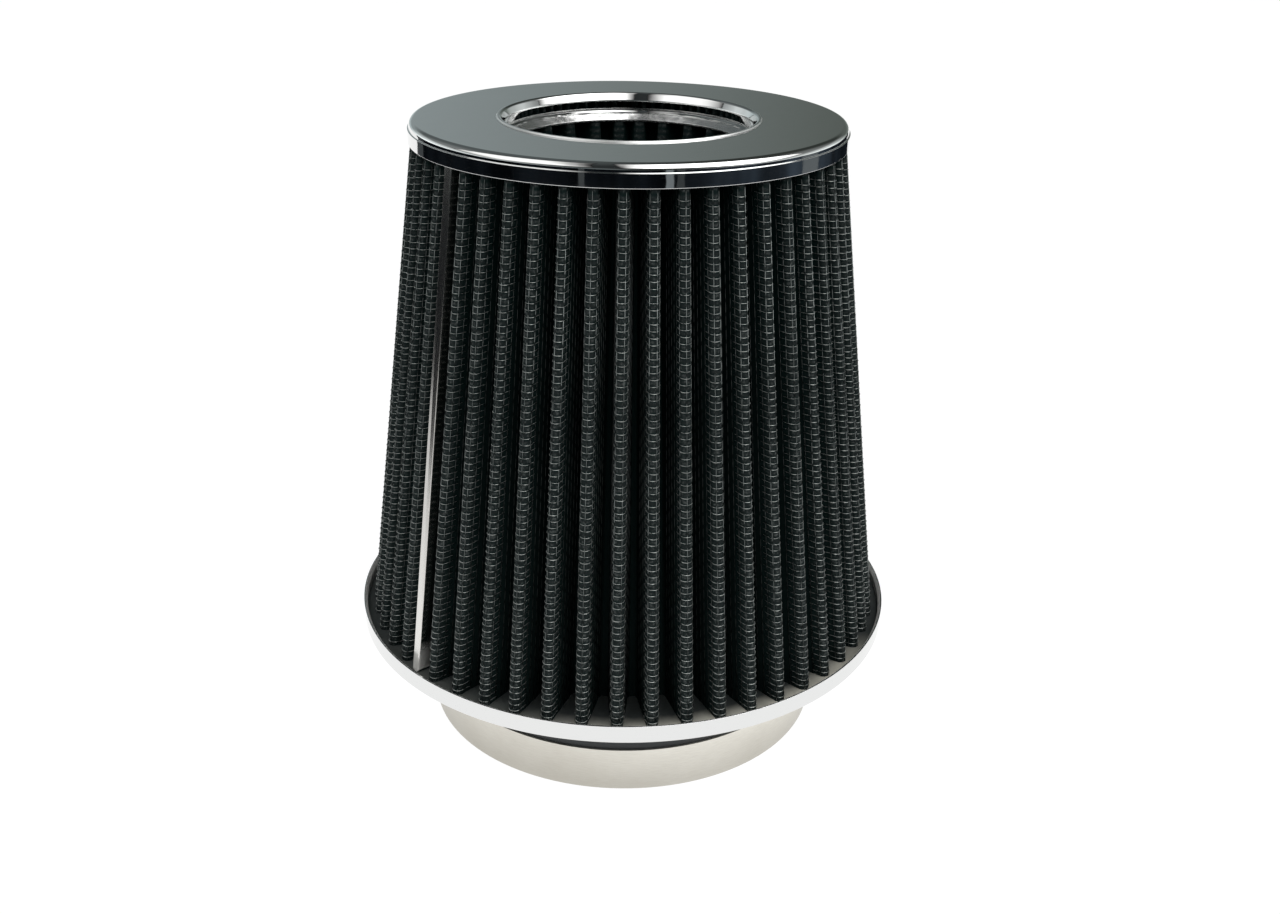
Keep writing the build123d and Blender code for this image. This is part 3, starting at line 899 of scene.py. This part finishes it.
def wall(radius, low, high, start, end, steps):
    """Vertices and faces of an upright curved wall, its angles turned from the front."""
    verts, faces = [], []
    for step in range(steps + 1):
        angle = start + (end - start) * step / steps
        across, along = radius * math.sin(angle), -radius * math.cos(angle)
        verts += [(across, along, low), (across, along, high)]
    for step in range(steps):
        faces.append((2 * step, 2 * step + 2, 2 * step + 3, 2 * step + 1))
    return verts, faces


def add_floor():
    """Plain white floor and a white backdrop all round it."""
    finish = Finish("white_floor", Roughness=0.9, Specular_IOR_Level=0.1, Emission_Strength=floor_glow)
    finish.set("Base Color", (0.03, 0.03, 0.03, 1))
    finish.set("Emission Color", WHITE)
    edge = floor_half
    corners = [(-edge, -edge, 0), (edge, -edge, 0), (edge, edge, 0), (-edge, edge, 0)]
    stage_piece("floor", corners, [(0, 1, 2, 3)], finish.material)
    white = glow_material("white_backdrop", WHITE, 1.0)
    ring = wall(backdrop_radius, backdrop_foot, backdrop_height, 0.0, 2 * math.pi, wall_steps)
    backdrop = stage_piece("backdrop", *ring, white)
    backdrop.visible_diffuse = False
    backdrop.visible_glossy = False
    backdrop.visible_shadow = False


def mirrored_only(piece):
    """Let a studio card show in reflections alone."""
    piece.visible_camera = False
    piece.visible_diffuse = False
    piece.visible_shadow = False


def add_dark_room():
    """Dark cards that the bright plate mirrors, as it would the room beyond a white table."""
    room_tone, patch_tone = (0.55, 0.75, 1.0, 1), (0.85, 0.95, 1.0, 1)
    streak = (1.0, 1.0, 0.1)
    room = glow_material("dark_room", room_tone, 0.0)
    graph = Graph(room.node_tree)
    place = graph.add("ShaderNodeTexCoord").outputs["Object"]
    upright = graph.add("ShaderNodeMapping", {0: place, 3: streak}).outputs[0]
    shade = graph.spread(graph.noise(upright, scale=9.0), 0.42, 0.65, 0.4, 1.6)
    climb = graph.math("POWER", graph.spread(graph.parts(place)[0], 0.0, table_reach), 3.0)
    side = graph.spread(climb, 0.0, 1.0, room_dark, room_pale)
    graph.feed(graph.tree.nodes["Emission"].inputs[1], graph.math("MULTIPLY", shade, side))
    cards = [wall(table_reach, 0.0, table_drop, table_left, table_right, wall_steps) + (room,)]
    patches = ((-23, -20, 0.06), (17, 20.5, 0.2), (22, 26, 0.05), (92, 105, 0.14), (-130, -122, 0.06))
    for start, end, strength in patches:
        pale = glow_material("pale_patch", patch_tone, strength)
        ring = wall(patch_reach, 0.0, table_drop, math.radians(start), math.radians(end), patch_steps)
        cards.append(ring + (pale,))
    for number, (verts, faces, material) in enumerate(cards):
        mirrored_only(stage_piece(f"room_card_{number}", verts, faces, material))


def panel_material(name, strength):
    """Glow that fades a little towards a panel's edges and far towards its outer end."""
    material = glow_material(name, (1.0, 1.0, 0.99, 1), 0.0)
    graph = Graph(material.node_tree)
    along, up, _ = graph.parts(graph.add("ShaderNodeTexCoord").outputs["UV"])
    inset = graph.math("MINIMUM", up, graph.math("SUBTRACT", 1.0, up))
    glow = graph.math("MULTIPLY", graph.spread(inset, 0.0, panel_fade), strength)
    glow = graph.math("MULTIPLY", graph.spread(along, 0.0, panel_fade), glow)
    glow = graph.math("MULTIPLY", graph.spread(along, panel_bright_share, 1.0, 1.0, 0.0), glow)
    graph.feed(graph.tree.nodes["Emission"].inputs[1], glow)
    return material


def add_panel(name, top, foot, reach, material):
    """Soft panel over the camera, leaning towards the filter, from its inner edge out to one side."""
    verts = [
        (foot, -panel_reach, panel_foot),
        (foot + reach * panel_flare, -panel_reach, panel_foot),
        (top + reach, panel_reach * panel_sweep, panel_top),
        (top, 0.0, panel_top),
    ]
    card = stage_piece(name + "_card", verts, [(0, 1, 2, 3)], material)
    edge = card.data.uv_layers.new(name="edge")
    for loop, corner in enumerate(((0, 0), (1, 0), (1, 1), (0, 1))):
        edge.data[loop].uv = corner
    mirrored_only(card)
    lean = math.atan2(panel_top - panel_foot, panel_reach)
    light = bpy.data.lights.new(name, "AREA")
    light.shape = "RECTANGLE"
    light.size = panel_spread
    light.size_y = panel_reach / math.cos(lean)
    light.energy = panel_light * math.pi * light.size * light.size_y
    lamp = bpy.data.objects.new(name, light)
    middle = (top + foot + math.copysign(panel_spread, reach)) / 2
    lamp.location = (middle, -panel_reach / 2, (panel_top + panel_foot) / 2)
    lamp.rotation_euler = (lean, 0.0, 0.0)
    lamp.visible_glossy = False
    scene.collection.objects.link(lamp)


def add_world():
    """Dim room, paler behind, low down, to the left and far out to either side."""
    left_tone, right_tone = (0.27, 0.31, 0.315, 1), (0.1, 0.115, 0.105, 1)
    side_tone = (1.1, 1.15, 1.15, 1)
    world = bpy.data.worlds.new("dim_room")
    world.use_nodes = True
    graph = Graph(world.node_tree)
    across, along, up = graph.parts(graph.add("ShaderNodeTexCoord").outputs["Generated"])
    room = graph.blend(graph.spread(across, -0.16, 0.16), left_tone, right_tone)
    low = graph.spread(up, 0.05, 0.15, 1.8, 1.0)
    high = graph.spread(up, 0.23, 0.36, 1.0, 0.35)
    behind = graph.spread(along, -0.6, 0.6, 0.3, 1.0)
    beside = graph.spread(graph.math("ABSOLUTE", across), 0.5, 0.85, 0.0, 0.6)
    glow = graph.math("MULTIPLY", graph.math("MULTIPLY", low, high), behind)
    background = graph.tree.nodes["Background"]
    graph.feed(background.inputs[0], graph.blend(beside, room, side_tone))
    graph.feed(background.inputs[1], glow)
    scene.world = world


scene.view_settings.view_transform = "Standard"
chrome = chrome_finish()
clamp_steel = clamp_finish()
rubber = rubber_finish()
potting = potting_finish()

keep_piece(cap_shell(chrome), "filter", "chrome", "top_cap")
keep_piece(collar_funnel(chrome), "filter", "chrome", "inner_collar")
keep_piece(pan_tray(chrome), "filter", "chrome", "base_pan")
for screen in woven_screens():
    keep_piece(screen, "filter", "filter_media")
sheet = lowered("pleated_sheet", "outer_pleats", 0.0, pleat_foot + level_slack, media_finish())
keep_piece(sheet, "filter", "filter_media", "outer_pleats")
strip = lowered("seam_strip", "seam_clip", 0.0, pleat_foot + strip_tip, strip_finish())
keep_piece(strip, "filter", "seam_strip", "seam_clip")
pour = lowered("base_pour", "base_potting", pleat_foot - level_slack, pleat_head, potting)
keep_piece(pour, "filter", "potting", "base_potting")
dress("inner_pleats", inner_media_finish())
for node in ("clamp_band", "clamp_housing", "clamp_screw"):
    dress(node, clamp_steel)
for node in ("rubber_neck", "inner_end_cap"):
    dress(node, rubber)
dress("top_potting", potting)

add_floor()
add_dark_room()
add_panel("left_panel", left_top, left_foot, left_reach, panel_material("left_glow", left_glow))
add_panel("right_panel", right_top, right_foot, right_reach, panel_material("right_glow", right_glow))
add_world()
add_camera()
